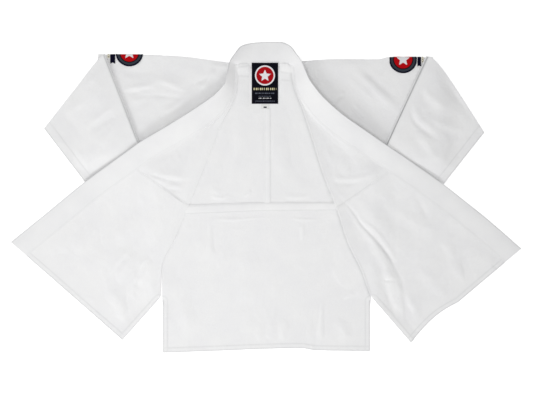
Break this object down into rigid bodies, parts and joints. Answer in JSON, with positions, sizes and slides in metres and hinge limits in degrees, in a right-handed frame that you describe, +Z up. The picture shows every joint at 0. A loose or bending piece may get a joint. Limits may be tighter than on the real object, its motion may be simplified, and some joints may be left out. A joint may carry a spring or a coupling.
{
  "type": "jiu-jitsu gi jacket",
  "caption": "White wrap-front grappling jacket laid open on its back, fronts turned back, sleeves folded down at the elbow, with a thick collar band.",
  "frame": {"origin": "on the surface that the jacket lies on, under the middle of its box", "axes": "+X across the jacket from one folded sleeve to the other, +Y from the hem to the collar, +Z up from the surface"},
  "size_m": [1.4016, 0.854, 0.0322],
  "materials": {
    "cloth": "white woven cotton, matt, a fine pebbled pearl weave",
    "band": "white cotton twill over a firm core, matt, sewn in rows along its length",
    "tape": "white cotton tape, matt",
    "label": "woven label, dark navy with a red disc and pale bars, slight sheen",
    "tab": "white woven tab with a plain mark",
    "patch": "embroidered round patch, red and navy",
    "stripe": "woven ribbon, navy and red"
  },
  "bodies": {
    "root": {"back_left": "cloth", "back_right": "cloth", "back_skirt": "cloth", "centre_back_tape": "tape", "collar_band": "band", "front_left_skirt": "cloth", "front_left_upper": "cloth", "front_right_skirt": "cloth", "front_right_upper": "cloth", "narrow_stripe_left": "stripe", "narrow_stripe_right": "stripe", "neck_label": "label", "round_patch_left": "patch", "round_patch_right": "patch", "size_tab": "tab", "sleeve_left": "cloth", "sleeve_right": "cloth", "waist_tape": "tape", "wide_stripe_left": "stripe", "wide_stripe_right": "stripe"}
  },
  "joints": []
}
